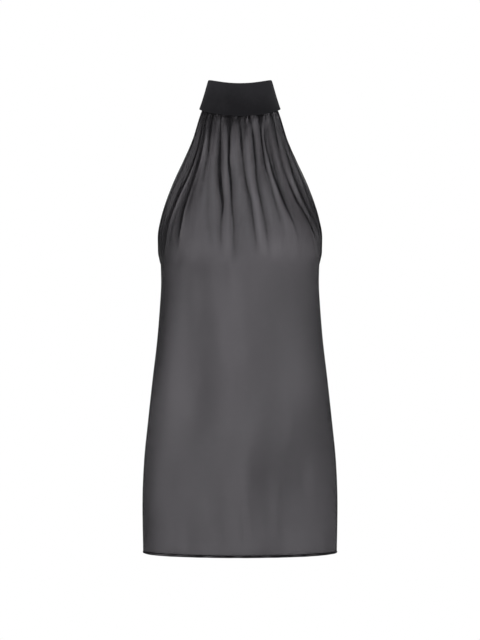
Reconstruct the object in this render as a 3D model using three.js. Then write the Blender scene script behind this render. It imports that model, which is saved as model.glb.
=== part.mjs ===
// A sheer halter neck top in its worn form, hollow and with no wearer.
//
// Two gathered cloth panels, front and back, hang from a fold-over collar. They meet
// at the side seams, and a narrow binding runs round each armhole from collar to collar.
// Units are millimetres. +Z is up, the front faces -Y and +X is on the right seen from
// the front. The origin is the middle of the neck, level with the neck seam at its sides.

import * as THREE from "three";

// Driving sizes of the garment
const CLOTH = 1.2; // wall of the sheer cloth
const ROLLED_HEM = 2.2; // wall where the hem is rolled
const SEAM_GAP = 0.3; // air between two pieces that are sewn together
const FULLNESS = 0.86; // below 1 a cross-section is fuller than an ellipse
const BINDING_WIDTH = 3.2; // armhole binding, across the cloth's edge
const BINDING_THICK = 2.6; // armhole binding, through the cloth
const SEAM_EASE = 0.35; // share of a gather's depth that is left at the neck seam
const SEAM_EASE_LENGTH = 20; // below the seam the gathers open to full depth in this length
const EDGE_HOLD = 0.07; // share of the half panel over which folds fade at its two edges
const UNDERARM_ARC = 90; // a panel's edge reaches the side of the figure here, in degrees

// How many columns of points a row has, where the gathers are fine and where the cloth is smooth
const FINE_COLUMNS = 88;
const SMOOTH_COLUMNS = 32;

// Stations of a panel from neck to hem. level is the height of its two edges, drop is how far
// the middle hangs below them, half is the half width at the edges, edge and middle are the
// depths there, arc is how far round the figure the edge lies in degrees, thick is the wall,
// and steps is the number of rows from this station to the next.
const FRONT_STATIONS = [
  { level: -0.8, drop: 15.5, half: 60.6, edge: -4.6, middle: -61.5, arc: 86, thick: CLOTH, steps: 2 },
  { level: -26, drop: 11, half: 69.2, edge: -9, middle: -69, arc: 83, thick: CLOTH, steps: 1 },
  { level: -60, drop: 7, half: 79.2, edge: -19, middle: -84, arc: 79, thick: CLOTH, steps: 2 },
  { level: -94, drop: 4, half: 93.2, edge: -31, middle: -99, arc: 76, thick: CLOTH, steps: 1 },
  { level: -128, drop: 2, half: 108.6, edge: -42, middle: -113, arc: 74, thick: CLOTH, steps: 1 },
  { level: -162, drop: 0, half: 122, edge: -49, middle: -125, arc: 74, thick: CLOTH, steps: 1 },
  { level: -196, drop: 0, half: 132.4, edge: -51, middle: -133, arc: 76, thick: CLOTH, steps: 2 },
  { level: -228, drop: 0, half: 137.6, edge: -45, middle: -137, arc: 79, thick: CLOTH, steps: 1 },
  { level: -250, drop: 0, half: 137.6, edge: -33, middle: -138, arc: 83, thick: CLOTH, steps: 1 },
  { level: -264, drop: 0, half: 135.6, edge: -17, middle: -138, arc: 87, thick: CLOTH, steps: 1 },
  { level: -268.6, drop: 0, half: 134.8, edge: -8, middle: -137.8, arc: 88.8, thick: CLOTH, steps: 1 },
  { level: -270, drop: 0, half: 134.6, edge: -0.15, middle: -137.8, arc: 90, thick: CLOTH, steps: 1 },
  { level: -300, drop: 0, half: 133.8, edge: -0.15, middle: -136, arc: 90, thick: CLOTH, steps: 1 },
  { level: -332, drop: 0, half: 135.2, edge: -0.15, middle: -133, arc: 90, thick: CLOTH, steps: 1 },
  { level: -400, drop: 0, half: 140.6, edge: -0.15, middle: -126, arc: 90, thick: CLOTH, steps: 1 },
  { level: -468, drop: 0, half: 148.6, edge: -0.15, middle: -120, arc: 90, thick: CLOTH, steps: 1 },
  { level: -536, drop: 0, half: 156, edge: -0.15, middle: -116.5, arc: 90, thick: CLOTH, steps: 1 },
  { level: -604, drop: 0, half: 162.8, edge: -0.15, middle: -114, arc: 90, thick: CLOTH, steps: 1 },
  { level: -680, drop: 0.6, half: 165.6, edge: -0.15, middle: -111.5, arc: 90, thick: CLOTH, steps: 1 },
  { level: -755.6, drop: 1, half: 164.6, edge: -0.15, middle: -109, arc: 90, thick: CLOTH, steps: 1 },
  { level: -756.6, drop: 1, half: 164.6, edge: -0.15, middle: -109, arc: 90, thick: ROLLED_HEM, steps: 1 },
  { level: -760, drop: 1, half: 164.4, edge: -0.15, middle: -109, arc: 90, thick: ROLLED_HEM, steps: 0 },
];

const BACK_STATIONS = [
  { level: -0.8, drop: 3.5, half: 60.6, edge: 4.6, middle: 61.5, arc: 86, thick: CLOTH, steps: 2 },
  { level: -26, drop: 3, half: 69.2, edge: 10, middle: 69, arc: 83, thick: CLOTH, steps: 1 },
  { level: -60, drop: 2, half: 79.4, edge: 23, middle: 79, arc: 79, thick: CLOTH, steps: 2 },
  { level: -94, drop: 1, half: 93.8, edge: 35, middle: 87, arc: 76, thick: CLOTH, steps: 1 },
  { level: -128, drop: 0, half: 109.8, edge: 44, middle: 93, arc: 74, thick: CLOTH, steps: 1 },
  { level: -162, drop: 0, half: 123.8, edge: 49, middle: 96.5, arc: 74, thick: CLOTH, steps: 1 },
  { level: -196, drop: 0, half: 134.4, edge: 49, middle: 98, arc: 76, thick: CLOTH, steps: 2 },
  { level: -228, drop: 0, half: 139.4, edge: 42, middle: 97.5, arc: 79, thick: CLOTH, steps: 1 },
  { level: -250, drop: 0, half: 138.8, edge: 31, middle: 96, arc: 83, thick: CLOTH, steps: 1 },
  { level: -264, drop: 0, half: 136, edge: 16, middle: 95, arc: 87, thick: CLOTH, steps: 1 },
  { level: -268.6, drop: 0, half: 134.9, edge: 7.6, middle: 94.6, arc: 88.8, thick: CLOTH, steps: 1 },
  { level: -270, drop: 0, half: 134.6, edge: 0.15, middle: 94.5, arc: 90, thick: CLOTH, steps: 1 },
  { level: -300, drop: 0, half: 133.8, edge: 0.15, middle: 92, arc: 90, thick: CLOTH, steps: 1 },
  { level: -332, drop: 0, half: 135.2, edge: 0.15, middle: 89.5, arc: 90, thick: CLOTH, steps: 1 },
  { level: -400, drop: 0, half: 140.6, edge: 0.15, middle: 87.5, arc: 90, thick: CLOTH, steps: 1 },
  { level: -468, drop: 1, half: 148.6, edge: 0.15, middle: 91, arc: 90, thick: CLOTH, steps: 1 },
  { level: -536, drop: 4, half: 156, edge: 0.15, middle: 97, arc: 90, thick: CLOTH, steps: 1 },
  { level: -604, drop: 8, half: 162.8, edge: 0.15, middle: 102, arc: 90, thick: CLOTH, steps: 1 },
  { level: -680, drop: 13, half: 165.6, edge: 0.15, middle: 104, arc: 90, thick: CLOTH, steps: 1 },
  { level: -755.6, drop: 17, half: 164.6, edge: 0.15, middle: 104, arc: 90, thick: CLOTH, steps: 1 },
  { level: -756.6, drop: 17, half: 164.6, edge: 0.15, middle: 104, arc: 90, thick: ROLLED_HEM, steps: 1 },
  { level: -760, drop: 17, half: 164.4, edge: 0.15, middle: 104, arc: 90, thick: ROLLED_HEM, steps: 0 },
];

// Gathers of a panel, from its left edge to its right. neck and bust say where a fold's trough
// lies across the panel (-1 at the left edge, 1 at the right) at the seam and at bust height,
// depth is how deep it is, and reach is the height at which it has died away.
const FRONT_GATHERS = [
  { neck: -0.88, bust: -0.93, depth: 3.0, reach: -190 },
  { neck: -0.76, bust: -0.82, depth: 5.0, reach: -262 },
  { neck: -0.64, bust: -0.62, depth: 5.2, reach: -256 },
  { neck: -0.51, bust: -0.46, depth: 4.0, reach: -228 },
  { neck: -0.32, bust: -0.19, depth: 5.4, reach: -252 },
  { neck: -0.18, bust: -0.05, depth: 5.4, reach: -276 },
  { neck: 0.0, bust: 0.12, depth: 5.4, reach: -252 },
  { neck: 0.14, bust: 0.24, depth: 5.2, reach: -264 },
  { neck: 0.29, bust: 0.37, depth: 3.8, reach: -222 },
  { neck: 0.41, bust: 0.5, depth: 5.2, reach: -252 },
  { neck: 0.57, bust: 0.7, depth: 5.2, reach: -250 },
  { neck: 0.75, bust: 0.84, depth: 4.6, reach: -238 },
  { neck: 0.88, bust: 0.94, depth: 3.0, reach: -190 },
];

const BACK_GATHERS = [
  { neck: -0.88, bust: -0.92, depth: 3.0, reach: -180 },
  { neck: -0.74, bust: -0.76, depth: 4.6, reach: -222 },
  { neck: -0.58, bust: -0.56, depth: 4.8, reach: -240 },
  { neck: -0.42, bust: -0.36, depth: 4.4, reach: -226 },
  { neck: -0.25, bust: -0.2, depth: 5.0, reach: -252 },
  { neck: -0.1, bust: -0.04, depth: 5.0, reach: -238 },
  { neck: 0.06, bust: 0.1, depth: 5.0, reach: -262 },
  { neck: 0.22, bust: 0.26, depth: 4.6, reach: -236 },
  { neck: 0.4, bust: 0.42, depth: 4.8, reach: -246 },
  { neck: 0.56, bust: 0.6, depth: 4.4, reach: -228 },
  { neck: 0.73, bust: 0.78, depth: 4.4, reach: -214 },
  { neck: 0.88, bust: 0.92, depth: 3.0, reach: -180 },
];
const BUST_LEVEL = -230; // height at which the gathers' bust column holds
const GATHER_FADE = 130; // a gather dies away over this height above its reach

// Long soft folds of the skirt part: where a trough or a ridge lies across the panel,
// its width as a share of the half panel, its height out of the cloth and its two ends.
const FRONT_DRAPES = [
  { across: -0.62, width: 0.16, height: 3.2, top: -290, foot: -800 },
  { across: -0.34, width: 0.13, height: -3.6, top: -300, foot: -700 },
  { across: -0.07, width: 0.12, height: 3.0, top: -270, foot: -640 },
  { across: 0.16, width: 0.13, height: -3.0, top: -280, foot: -760 },
  { across: 0.5, width: 0.17, height: 3.2, top: -270, foot: -640 },
  { across: 0.7, width: 0.12, height: -3.2, top: -420, foot: -800 },
];
const BACK_DRAPES = [
  { across: -0.55, width: 0.14, height: 3.4, top: -280, foot: -800 },
  { across: -0.24, width: 0.13, height: -4.0, top: -280, foot: -720 },
  { across: 0.05, width: 0.13, height: 3.4, top: -260, foot: -700 },
  { across: 0.32, width: 0.13, height: -4.0, top: -300, foot: -800 },
  { across: 0.6, width: 0.14, height: 3.2, top: -320, foot: -800 },
];
const DRAPE_FADE = 90; // a soft fold swells and dies away over this height

// Section of the fold-over collar as one closed loop, from the foot of the stand up its inside,
// over the fold, down the outside of the fall and back up between the two layers. halfX and
// halfY are the ring's half sizes, side is the height at the sides of the neck, and front and
// back are how far the ring dips at the middle front and at the middle back.
const COLLAR_SECTION = [
  { halfX: 59.7, halfY: 60.6, side: -0.1, front: 15.4, back: 3.4 },
  { halfX: 55.7, halfY: 56.8, side: 20, front: 12, back: 2 },
  { halfX: 51.9, halfY: 53.0, side: 38.6, front: 9.2, back: 1 },
  { halfX: 52.3, halfY: 53.4, side: 40.6, front: 9.1, back: 1 },
  { halfX: 53.4, halfY: 54.5, side: 41.2, front: 9.0, back: 1 },
  { halfX: 54.6, halfY: 55.7, side: 40.2, front: 9.1, back: 1 },
  { halfX: 61.2, halfY: 62.4, side: 17, front: 13, back: 2 },
  { halfX: 69.0, halfY: 70.5, side: -6.2, front: 16.6, back: 3 },
  { halfX: 68.6, halfY: 70.1, side: -7.0, front: 16.7, back: 3 },
  { halfX: 67.5, halfY: 69.0, side: -6.7, front: 16.6, back: 3 },
  { halfX: 59.7, halfY: 60.9, side: 16.6, front: 13, back: 2 },
  { halfX: 54.0, halfY: 55.1, side: 36.2, front: 9.6, back: 1 },
  { halfX: 57.3, halfY: 58.4, side: 20.2, front: 12, back: 2 },
  { halfX: 61.3, halfY: 62.2, side: 0.1, front: 15.4, back: 3.4 },
];
const COLLAR_SEGMENTS = 52;
const COLLAR_DIP_SHAPE = 1.4; // above 1 the dips gather towards the middle front and back
const COLLAR_DIP_RISE = 0.015; // they gather more by this much for each millimetre higher up

// Section of an armhole binding, as shares of its half width and half thickness
const BINDING_SECTION = [
  { across: -1, through: -0.6 },
  { across: -0.55, through: -1 },
  { across: 0.55, through: -1 },
  { across: 1, through: -0.4 },
  { across: 1, through: 0.4 },
  { across: 0.55, through: 1 },
  { across: -0.55, through: 1 },
  { across: -1, through: 0.6 },
];

const degrees = THREE.MathUtils.degToRad;
const smooth = (x) => THREE.MathUtils.smoothstep(x, 0, 1);

// Value of one column of a station table at a fractional station number
function column(stations, name, at) {
  const last = stations.length - 1;
  const i = Math.min(Math.floor(at), last - 1);
  const f = at - i;
  const pick = (k) => stations[THREE.MathUtils.clamp(k, 0, last)][name];
  const [before, a, b, after] = [pick(i - 1), pick(i), pick(i + 1), pick(i + 2)];
  const level = (k) => stations[THREE.MathUtils.clamp(k, 0, last)].level;
  const span = level(i + 1) - level(i);
  const slopeA = i > 0 ? ((b - before) / (level(i + 1) - level(i - 1))) * span : b - a;
  const slopeB = i < last - 1 ? ((after - a) / (level(i + 2) - level(i))) * span : b - a;
  if (name === "thick" || name === "level") return a + (b - a) * f;
  const f2 = f * f;
  const f3 = f2 * f;
  return (
    a * (2 * f3 - 3 * f2 + 1) + slopeA * (f3 - 2 * f2 + f) + b * (3 * f2 - 2 * f3) + slopeB * (f3 - f2)
  );
}

// Depth of the gathers at a place across the panel: 0 on a crest, most in a trough
function gatherDepth(gathers, across, level) {
  const share = THREE.MathUtils.clamp(level / BUST_LEVEL, 0, 1.2);
  const troughs = gathers.map((g) => g.neck + (g.bust - g.neck) * share);
  const ease = SEAM_EASE + (1 - SEAM_EASE) * smooth(-level / SEAM_EASE_LENGTH);
  let depth = 0;
  gathers.forEach((g, i) => {
    const left = i > 0 ? troughs[i - 1] : -1;
    const right = i < gathers.length - 1 ? troughs[i + 1] : 1;
    const side = across < troughs[i] ? troughs[i] - left : right - troughs[i];
    const away = Math.abs(across - troughs[i]) / (side / 2);
    if (away >= 1) return;
    const fade = smooth((level - g.reach) / GATHER_FADE);
    depth += g.depth * fade * ease * (0.5 + 0.5 * Math.cos(Math.PI * away));
  });
  return depth;
}

// Height of the long soft folds at a place across the panel
function drapeHeight(drapes, across, level) {
  return drapes.reduce((sum, d) => {
    const away = (across - d.across) / d.width;
    const along = smooth((d.top - level) / DRAPE_FADE) * smooth((level - d.foot) / DRAPE_FADE);
    return sum + d.height * along * Math.exp(-away * away);
  }, 0);
}

// A point on the smooth form of a panel, before its folds
function formPoint(panel, across, at) {
  const s = (name) => column(panel.stations, name, at);
  const arc = degrees(s("arc"));
  const turn = across * arc;
  const rim = Math.cos(arc) ** FULLNESS || 0;
  const bow = (Math.max(Math.cos(turn), 0) ** FULLNESS - rim) / (1 - rim);
  return new THREE.Vector3(
    (s("half") * Math.sin(turn)) / Math.sin(arc),
    s("edge") + (s("middle") - s("edge")) * bow,
    s("level") - s("drop") * Math.cos((across * Math.PI) / 2),
  );
}

// Outward normal of a surface given by a function of (across, at), from two short steps on it
function normalOf(surface, panel, across, at) {
  const du = 0.004;
  const dv = 0.02;
  const last = panel.stations.length - 1;
  const clampU = (u) => THREE.MathUtils.clamp(u, -1, 1);
  const clampV = (v) => THREE.MathUtils.clamp(v, 0, last);
  const sideways = surface(clampU(across + du), at).sub(surface(clampU(across - du), at));
  const down = surface(across, clampV(at + dv)).sub(surface(across, clampV(at - dv)));
  const normal = down.cross(sideways).normalize();
  return panel.stations[0].middle < 0 ? normal : normal.negate();
}

// A point on the cloth of a panel, folds included
function clothPoint(panel, across, at) {
  const form = (u, v) => formPoint(panel, u, v);
  const level = column(panel.stations, "level", at);
  const out = drapeHeight(panel.drapes, across, level) - gatherDepth(panel.gathers, across, level);
  return form(across, at).addScaledVector(normalOf(form, panel, across, at), out * edgeHold(across));
}

// The bound edges and the side seams hold the cloth, so folds fade out towards them
function edgeHold(across) {
  return smooth((1 - Math.abs(across)) / EDGE_HOLD);
}

// Two rows of points with their places across, joined by triangles
function stitch(indices, rowA, rowB, flip) {
  let i = 0;
  let j = 0;
  const push = (a, b, c) => (flip ? indices.push(a, c, b) : indices.push(a, b, c));
  while (i < rowA.length - 1 || j < rowB.length - 1) {
    const nextA = i < rowA.length - 1 ? rowA[i + 1].across : Infinity;
    const nextB = j < rowB.length - 1 ? rowB[j + 1].across : Infinity;
    if (nextA <= nextB) {
      push(rowA[i].index, rowB[j].index, rowA[i + 1].index);
      i += 1;
    } else {
      push(rowA[i].index, rowB[j].index, rowB[j + 1].index);
      j += 1;
    }
  }
}

// A closed wall made from rows of outer and inner points
function wallGeometry(rows, mirrored) {
  const positions = [];
  const indices = [];
  const place = (p) => positions.push(p.x, p.y, p.z) / 3 - 1;
  const outer = rows.map((row) => row.map((c) => ({ across: c.across, index: place(c.outer) })));
  const inner = rows.map((row) => row.map((c) => ({ across: c.across, index: place(c.inner) })));
  for (let r = 0; r < rows.length - 1; r += 1) {
    stitch(indices, outer[r], outer[r + 1], mirrored);
    stitch(indices, inner[r], inner[r + 1], !mirrored);
  }
  const last = rows.length - 1;
  stitch(indices, inner[0], outer[0], mirrored);
  stitch(indices, outer[last], inner[last], mirrored);
  const leftOf = (side) => side.map((row, r) => ({ across: r, index: row[0].index }));
  const rightOf = (side) => side.map((row, r) => ({ across: r, index: row[row.length - 1].index }));
  stitch(indices, leftOf(outer), leftOf(inner), mirrored);
  stitch(indices, rightOf(inner), rightOf(outer), mirrored);
  const geometry = new THREE.BufferGeometry();
  geometry.setAttribute("position", new THREE.Float32BufferAttribute(positions, 3));
  geometry.setIndex(indices);
  geometry.computeVertexNormals();
  return geometry;
}

// Fractional station numbers of all rows of a panel
function rowStations(stations) {
  const rows = [];
  stations.forEach((s, i) => {
    for (let k = 0; k < Math.max(s.steps, 1); k += 1) rows.push(i + (s.steps ? k / s.steps : 0));
  });
  return rows;
}

function panelGeometry(panel) {
  const surface = (u, v) => clothPoint(panel, u, v);
  const deepest = Math.min(...panel.gathers.map((g) => g.reach));
  const rows = rowStations(panel.stations).map((at) => {
    const level = column(panel.stations, "level", at);
    const half = column(panel.stations, "thick", at) / 2;
    const columns = level > deepest ? FINE_COLUMNS : SMOOTH_COLUMNS;
    return Array.from({ length: columns + 1 }, (_, i) => {
      const across = (2 * i) / columns - 1;
      const point = surface(across, at);
      const normal = normalOf(surface, panel, across, at);
      return {
        across,
        outer: point.clone().addScaledVector(normal, half),
        inner: point.clone().addScaledVector(normal, -half),
      };
    });
  });
  return wallGeometry(rows, panel.stations[0].middle > 0);
}

// Edge of a panel from the neck down to the top of the side seam, with the cloth's normals
function armholeEdge(panel, side) {
  const underarm = panel.stations.findIndex((s) => s.arc === UNDERARM_ARC);
  const rows = rowStations(panel.stations).filter((at) => at <= underarm);
  const surface = (u, v) => clothPoint(panel, u, v);
  return rows.map((at) => ({
    point: surface(side, at),
    normal: normalOf(surface, panel, side, at),
  }));
}

// A narrow binding round one armhole, up against the cloth's edge but clear of it.
function bindingGeometry(front, back, side) {
  const path = [...armholeEdge(front, side), ...armholeEdge(back, side).reverse().slice(1)];
  const out = SEAM_GAP + BINDING_WIDTH / 2;
  const section = BINDING_SECTION.map((p) => [
    (p.across * BINDING_WIDTH) / 2,
    (p.through * BINDING_THICK) / 2,
  ]);
  const rings = path.map(({ point, normal }, i) => {
    const before = path[Math.max(i - 1, 0)].point;
    const after = path[Math.min(i + 1, path.length - 1)].point;
    const along = after.clone().sub(before).normalize();
    const away = normal.clone().cross(along).multiplyScalar(side).normalize();
    const up = away.clone().cross(along).multiplyScalar(-side).normalize();
    const centre = point.clone().addScaledVector(away, out);
    return section.map(([a, b]) => centre.clone().addScaledVector(away, a).addScaledVector(up, b));
  });
  return tubeGeometry(rings, side < 0);
}

// A closed tube through rings of points, with flat ends
function tubeGeometry(rings, mirrored) {
  const positions = rings.flat().flatMap((p) => [p.x, p.y, p.z]);
  const indices = [];
  const push = (a, b, c) => (mirrored ? indices.push(a, b, c) : indices.push(a, c, b));
  const count = rings[0].length;
  for (let r = 0; r < rings.length - 1; r += 1) {
    for (let k = 0; k < count; k += 1) {
      const [a, b] = [r * count + k, r * count + ((k + 1) % count)];
      push(a, a + count, b);
      push(b, a + count, b + count);
    }
  }
  const foot = (rings.length - 1) * count;
  for (let k = 1; k < count - 1; k += 1) {
    push(0, k, k + 1);
    push(foot, foot + k + 1, foot + k);
  }
  const geometry = new THREE.BufferGeometry();
  geometry.setAttribute("position", new THREE.Float32BufferAttribute(positions, 3));
  geometry.setIndex(indices);
  geometry.computeVertexNormals();
  return geometry;
}

function collarGeometry() {
  const count = COLLAR_SECTION.length;
  const positions = [];
  const indices = [];
  for (let k = 0; k < COLLAR_SEGMENTS; k += 1) {
    const turn = (2 * Math.PI * k) / COLLAR_SEGMENTS;
    for (const s of COLLAR_SECTION) {
      const shape = COLLAR_DIP_SHAPE + COLLAR_DIP_RISE * s.side;
      const towardsFront = Math.max(Math.cos(turn), 0) ** shape;
      const towardsBack = Math.max(-Math.cos(turn), 0) ** shape;
      const height = s.side - s.front * towardsFront - s.back * towardsBack;
      positions.push(s.halfX * Math.sin(turn), -s.halfY * Math.cos(turn), height);
    }
    const next = (k + 1) % COLLAR_SEGMENTS;
    for (let j = 0; j < count; j += 1) {
      const [a, b] = [k * count + j, k * count + ((j + 1) % count)];
      const [c, d] = [next * count + j, next * count + ((j + 1) % count)];
      indices.push(a, b, c, b, d, c);
    }
  }
  const geometry = new THREE.BufferGeometry();
  geometry.setAttribute("position", new THREE.Float32BufferAttribute(positions, 3));
  geometry.setIndex(indices);
  geometry.computeVertexNormals();
  return geometry;
}

const front = { stations: FRONT_STATIONS, gathers: FRONT_GATHERS, drapes: FRONT_DRAPES };
const back = { stations: BACK_STATIONS, gathers: BACK_GATHERS, drapes: BACK_DRAPES };

const sheerCloth = { color: 0x57555a, roughness: 0.75, metalness: 0 };
const collarCloth = { color: 0x252527, roughness: 0.85, metalness: 0 };
const bindingCloth = { color: 0x2c2c2e, roughness: 0.8, metalness: 0 };

const top = new THREE.Group();
function addPiece(name, geometry, finish) {
  const mesh = new THREE.Mesh(geometry, new THREE.MeshStandardMaterial(finish));
  mesh.name = name;
  top.add(mesh);
}

addPiece("front_panel", panelGeometry(front), sheerCloth);
addPiece("back_panel", panelGeometry(back), sheerCloth);
addPiece("collar", collarGeometry(), collarCloth);
addPiece("right_armhole_binding", bindingGeometry(front, back, 1), bindingCloth);
addPiece("left_armhole_binding", bindingGeometry(front, back, -1), bindingCloth);

export default top;
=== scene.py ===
# %% [markdown]
# # A sheer halter neck top
#
# The real top is cut from crinkled chiffon: a front and a back panel, gathered at the neck into
# a folded band of dense crepe, with bound armholes, two side seams and a rolled hem.
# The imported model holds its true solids, and this lesson dresses them in cloth.
# Sizes are in millimetres, as a pattern cutter writes them, and MM turns them to metres.

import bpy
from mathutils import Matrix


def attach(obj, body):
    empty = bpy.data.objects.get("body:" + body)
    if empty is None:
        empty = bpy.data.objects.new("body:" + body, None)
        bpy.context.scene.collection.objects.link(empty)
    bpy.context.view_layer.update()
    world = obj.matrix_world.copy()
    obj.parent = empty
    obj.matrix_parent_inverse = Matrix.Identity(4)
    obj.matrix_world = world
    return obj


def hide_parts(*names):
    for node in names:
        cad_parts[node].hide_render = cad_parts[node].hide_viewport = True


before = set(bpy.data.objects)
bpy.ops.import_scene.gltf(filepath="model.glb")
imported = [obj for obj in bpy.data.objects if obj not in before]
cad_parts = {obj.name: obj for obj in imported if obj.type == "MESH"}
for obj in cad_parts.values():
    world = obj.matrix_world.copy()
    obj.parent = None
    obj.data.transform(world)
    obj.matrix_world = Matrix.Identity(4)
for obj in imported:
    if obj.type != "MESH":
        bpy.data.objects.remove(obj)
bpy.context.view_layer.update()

# %% Tools for the lesson
import math
from collections import namedtuple

import bpy
import numpy as np
from mathutils import Vector

MM = 0.001
scene = bpy.context.scene


def show(thing):
    """Puts an object in the scene."""
    scene.collection.objects.link(thing)


def table(kind, rows):
    """Rows of values as a list of one kind, with its named columns."""
    return [kind(*row) for row in rows]


# %% [markdown]
# ## The camera
#
# The photograph looks straight at the front, level with the middle of the top, from far off.
# A long lens does the same: the frame's long side covers 1088 mm of the plane of the side
# seams, and from 4.7 m the level hem just curves down at its middle, as in the photograph.

# %% Place the camera
FRAME_LONG_SIDE = 1088
CAMERA_DISTANCE = 4700
CAMERA_LEVEL = -365.5
SENSOR_LONG_SIDE = 36

camera_data = bpy.data.cameras.new("photo_camera")
camera_data.sensor_width = SENSOR_LONG_SIDE
camera_data.lens = SENSOR_LONG_SIDE * CAMERA_DISTANCE / FRAME_LONG_SIDE
camera = bpy.data.objects.new("photo_camera", camera_data)
camera.location = (0, -CAMERA_DISTANCE * MM, CAMERA_LEVEL * MM)
camera.rotation_euler = (math.radians(90), 0, 0)
show(camera)
scene.camera = camera
print("lens:", round(camera_data.lens, 1), "mm")

# %% [markdown]
# ## Light and floor
#
# A product photograph of sheer cloth is lit by a white room, so that the cloth is seen
# against pure white. A white world does that evenly, and large soft lamps from above and in
# front add the little shape that black cloth shows. The floor is where a wearer would stand.

# %% Light the room
WORLD_STRENGTH = 1.0
FLOOR_LEVEL = -1450
FLOOR_RADIUS = 2600
Softbox = namedtuple("Softbox", "name place aim size watts")
SOFTBOXES = table(Softbox, [
    ("key_light", (-1500, -2400, 1300), (0, 0, -250), 1600, 18),
    ("fill_light", (1900, -2200, 300), (0, 0, -350), 1800, 6),
    ("top_light", (0, 300, 1700), (0, 0, -200), 1500, 12),
])

world = bpy.data.worlds.new("white_room")
world.use_nodes = True
background = world.node_tree.nodes["Background"]
background.inputs["Color"].default_value = (1, 1, 1, 1)
background.inputs["Strength"].default_value = WORLD_STRENGTH
scene.world = world
scene.view_settings.view_transform = "Standard"

for box in SOFTBOXES:
    lamp = bpy.data.lights.new(box.name, "AREA")
    lamp.size = box.size * MM
    lamp.energy = box.watts
    lamp_object = bpy.data.objects.new(box.name, lamp)
    lamp_object.location = Vector(box.place) * MM
    toward = Vector(box.aim) - Vector(box.place)
    lamp_object.rotation_euler = toward.to_track_quat("-Z", "Y").to_euler()
    show(lamp_object)
print("lamps:", [box.name for box in SOFTBOXES])

# %% [markdown]
# ## Node helpers
#
# Every finish here is a small node tree. A few helpers keep each tree short enough to read:
# one adds a node with its settings, one starts a material with a cloth shader in it, and the
# others do a sum, a noise, a blend of two tones and a relief.

# %% Helpers for materials
def add_node(tree, kind, inputs=None, **settings):
    """A new node with its settings, its inputs set to values or linked to other nodes."""
    made = tree.nodes.new(kind)
    for name, value in settings.items():
        setattr(made, name, value)
    for name, value in (inputs or {}).items():
        if isinstance(value, bpy.types.NodeSocket):
            tree.links.new(value, made.inputs[name])
        else:
            made.inputs[name].default_value = value
    return made


def cloth_material(name, roughness, specular):
    """A material with one cloth shader: the material, its tree, the shader and the output."""
    material = bpy.data.materials.new(name)
    material.use_nodes = True
    tree = material.node_tree
    tree.nodes.clear()
    finish = {"Roughness": roughness, "Specular IOR Level": specular}
    shader = add_node(tree, "ShaderNodeBsdfPrincipled", finish)
    output = add_node(tree, "ShaderNodeOutputMaterial", {"Surface": shader.outputs[0]})
    return material, tree, shader, output


def math_node(tree, operation, a, b=None):
    """The result of one sum on values or sockets."""
    inputs = {0: a} if b is None else {0: a, 1: b}
    return add_node(tree, "ShaderNodeMath", inputs, operation=operation).outputs[0]


def noise(tree, where, scale, detail):
    """Noise at a place in metres: so many grains a metre, or so many along each axis."""
    if isinstance(scale, tuple):
        where = add_node(tree, "ShaderNodeMapping", {"Vector": where, "Scale": scale}).outputs[0]
        scale = 1.0
    inputs = {"Vector": where, "Scale": scale, "Detail": detail}
    return add_node(tree, "ShaderNodeTexNoise", inputs).outputs["Fac"]


def blend_tones(tree, shader, share, ends, tones):
    """Colours a shader from the first tone to the second, as share runs between its ends."""
    ramp = add_node(tree, "ShaderNodeValToRGB", {"Fac": share})
    for element, place, tone in zip(ramp.color_ramp.elements, ends, tones):
        element.position = place
        element.color = tone
    tree.links.new(ramp.outputs["Color"], shader.inputs["Base Color"])


def add_relief(tree, shader, height, strength, depth):
    """Gives a shader's surface a fine relief of this depth in metres."""
    inputs = {"Height": height, "Strength": strength, "Distance": depth}
    relief = add_node(tree, "ShaderNodeBump", inputs)
    tree.links.new(relief.outputs[0], shader.inputs["Normal"])


print("helpers ready")

# %% [markdown]
# ## The floor
#
# A studio floor is a pale painted disc. It isn't part of the top.

# %% Lay the floor
FLOOR_SIDES = 96
FLOOR_ROUGHNESS = 0.9
FLOOR_SHINE = 0.1
FLOOR_GRAIN = {"Scale": 6.0, "Detail": 3.0}
FLOOR_TONES = ((0.8, 0.8, 0.8, 1), (0.84, 0.84, 0.84, 1))
floor_material, tree, paint, _ = cloth_material("studio_floor", FLOOR_ROUGHNESS, FLOOR_SHINE)
floor_grain = add_node(tree, "ShaderNodeTexNoise", FLOOR_GRAIN).outputs["Fac"]
blend_tones(tree, paint, floor_grain, (0.0, 1.0), FLOOR_TONES)

rim = [(math.cos(a), math.sin(a)) for a in np.linspace(0, math.tau, FLOOR_SIDES, endpoint=False)]
floor_mesh = bpy.data.meshes.new("studio_floor")
floor_points = [(x * FLOOR_RADIUS * MM, y * FLOOR_RADIUS * MM, FLOOR_LEVEL * MM) for x, y in rim]
floor_mesh.from_pydata(floor_points, [], [list(range(FLOOR_SIDES))])
floor_mesh.materials.append(floor_material)
floor = bpy.data.objects.new("studio_floor", floor_mesh)
show(floor)
print("floor", FLOOR_LEVEL, "mm from the neck seam")

# %% [markdown]
# ## The form that the cloth hangs on
#
# A worn top is a stack of half rings, one for the front and one for the back. Each station
# gives one ring: its height at the two edges, how far its middle drops, the half width, the
# depth of its edges and of its middle, and how far round the figure the edges lie in degrees.
# A smooth curve through the stations gives every height between them. It could be sculpted,
# but a table keeps the sizes of the model, so the cloth fits its solids without any fitting.

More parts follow.
